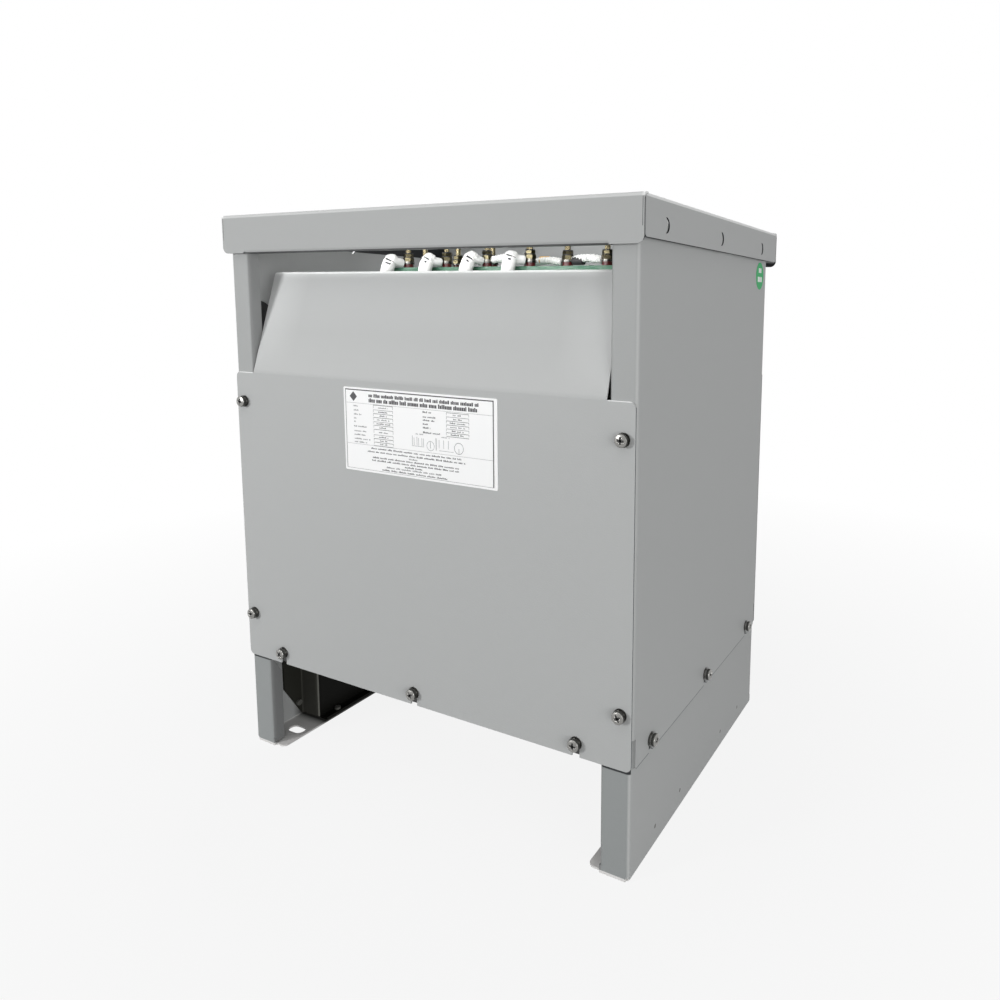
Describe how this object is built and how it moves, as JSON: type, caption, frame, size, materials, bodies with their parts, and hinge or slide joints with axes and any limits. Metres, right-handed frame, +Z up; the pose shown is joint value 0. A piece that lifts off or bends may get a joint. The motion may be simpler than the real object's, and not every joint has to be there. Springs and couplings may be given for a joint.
{
  "type": "isolation transformer",
  "caption": "Dry-type isolation transformer in a grey sheet-steel enclosure on open legs, with slanted air baffles, an overhanging lid and terminals on a green board behind the upper air gap.",
  "frame": {"origin": "on the floor, at the centre of the four foot slots", "axes": "+X to the right of someone who faces the front, +Y from the front to the rear, +Z up"},
  "size_m": [0.5154, 0.383, 0.61],
  "materials": {
    "grey_enamel": "semi-gloss powder coat",
    "zinc": "bright zinc plate",
    "black_spring_steel": "black phosphate",
    "dark_steel": "satin dark enamel",
    "clamp_steel": "satin enamel",
    "plate_film": "satin film with printed bars",
    "sticker_film": "satin film",
    "black_rubber": "matte",
    "core_steel": "varnished lamination edges",
    "winding_tube": "glass fibre tube",
    "inner_coil": "varnished foil",
    "outer_coil": "varnished wire",
    "pressboard": "pressboard",
    "board_green": "glass polyester sheet",
    "insulator_red": "moulded polyester",
    "brass": "bright",
    "tinned_copper": "tinned",
    "sleeve_white": "varnished glass sleeving"
  },
  "bodies": {
    "root": {"base_rail_front": "grey_enamel", "base_rail_rear": "grey_enamel", "blanking_grommet": "black_rubber", "board_screws": "zinc", "bracket_bolts": "dark_steel", "clamp_nuts": "zinc", "clip_nuts": "black_spring_steel", "core_brackets": "dark_steel", "core_lower_yoke_and_legs": "core_steel", "core_upper_yoke": "core_steel", "cross_bolts": "zinc", "duct_sticks": "pressboard", "earth_nut": "zinc", "earth_stud": "brass", "end_blocks": "pressboard", "flat_washers": "zinc", "front_panel": "grey_enamel", "hold_down_bolts": "zinc", "hold_down_nuts": "zinc", "inner_winding_left": "inner_coil", "inner_winding_middle": "inner_coil", "inner_winding_right": "inner_coil", "inspection_sticker": "sticker_film", "isolation_pads": "black_rubber", "jumper_sleeves": "sleeve_white", "jumper_wires": "tinned_copper", "lead_lugs": "tinned_copper", "lead_sleeves": "sleeve_white", "leg_frame_left": "grey_enamel", "leg_frame_right": "grey_enamel", "lid": "grey_enamel", "lower_clamp_front": "clamp_steel", "lower_clamp_rear": "clamp_steel", "nameplate": "plate_film", "outer_winding_left": "outer_coil", "outer_winding_middle": "outer_coil", "outer_winding_right": "outer_coil", "panel_screws": "zinc", "pressboard_strips": "pressboard", "rail_rivets": "zinc", "rear_panel": "grey_enamel", "side_panel_left": "grey_enamel", "side_panel_right": "grey_enamel", "side_screws": "zinc", "spring_washers": "zinc", "stud_insulators": "insulator_red", "stud_nuts": "brass", "stud_washers": "zinc", "terminal_board": "board_green", "terminal_studs": "brass", "terminal_supports": "clamp_steel", "tie_rods": "zinc", "top_rail_front": "grey_enamel", "top_rail_rear": "grey_enamel", "upper_clamp_front": "clamp_steel", "upper_clamp_rear": "clamp_steel", "weld_nuts": "zinc", "winding_tubes": "winding_tube"}
  },
  "joints": []
}
